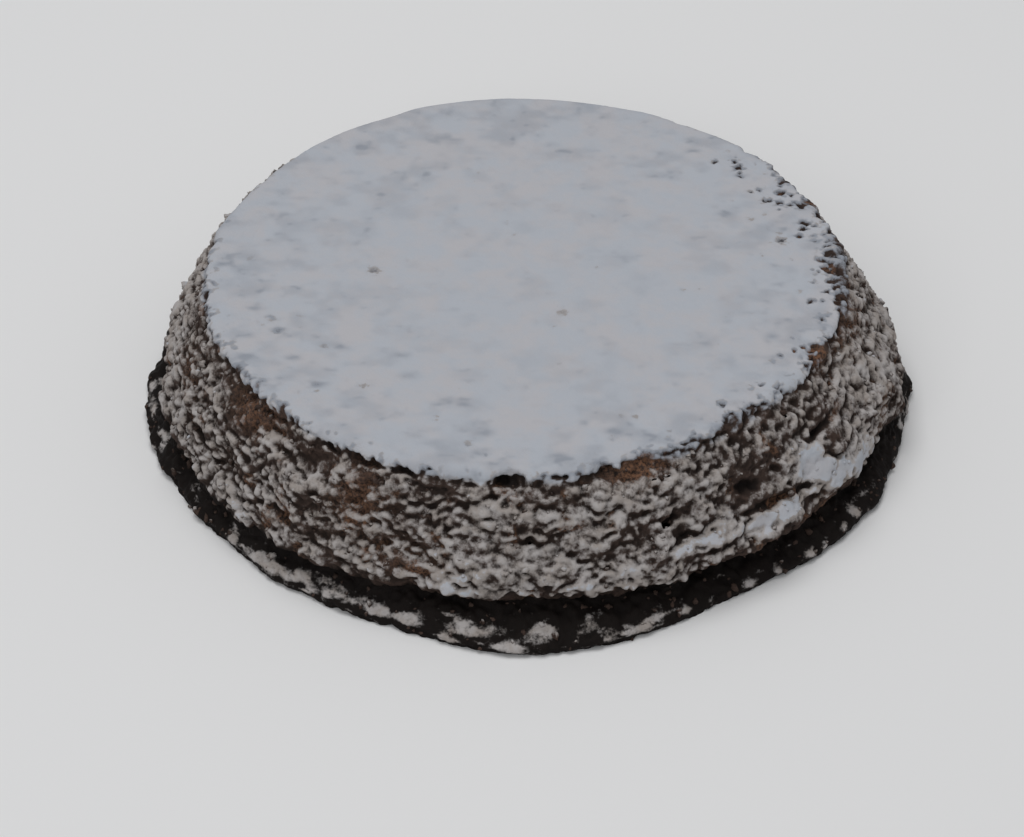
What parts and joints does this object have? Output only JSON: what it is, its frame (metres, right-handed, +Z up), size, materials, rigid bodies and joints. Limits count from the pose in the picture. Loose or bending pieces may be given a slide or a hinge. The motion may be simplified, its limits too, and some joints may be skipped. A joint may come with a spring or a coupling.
{
  "type": "chocolate cake",
  "caption": "Round flourless chocolate cake turned out of a flared tin, uncut: flat top, crumbly flared side and a thin lip of crust at the foot, dusted with icing sugar.",
  "frame": {"origin": "middle of the cake's bounding box, on the flat underside that it stands on", "axes": "+Z up out of the sugared top; -Y towards the front, where the lip of crust at the foot stands out furthest; +X to the right of someone facing the front"},
  "size_m": [0.2456, 0.2466, 0.05],
  "materials": {
    "chocolate_crumb": "matte",
    "icing_sugar": "matte"
  },
  "bodies": {
    "root": {"cake": "chocolate_crumb"}
  },
  "joints": []
}
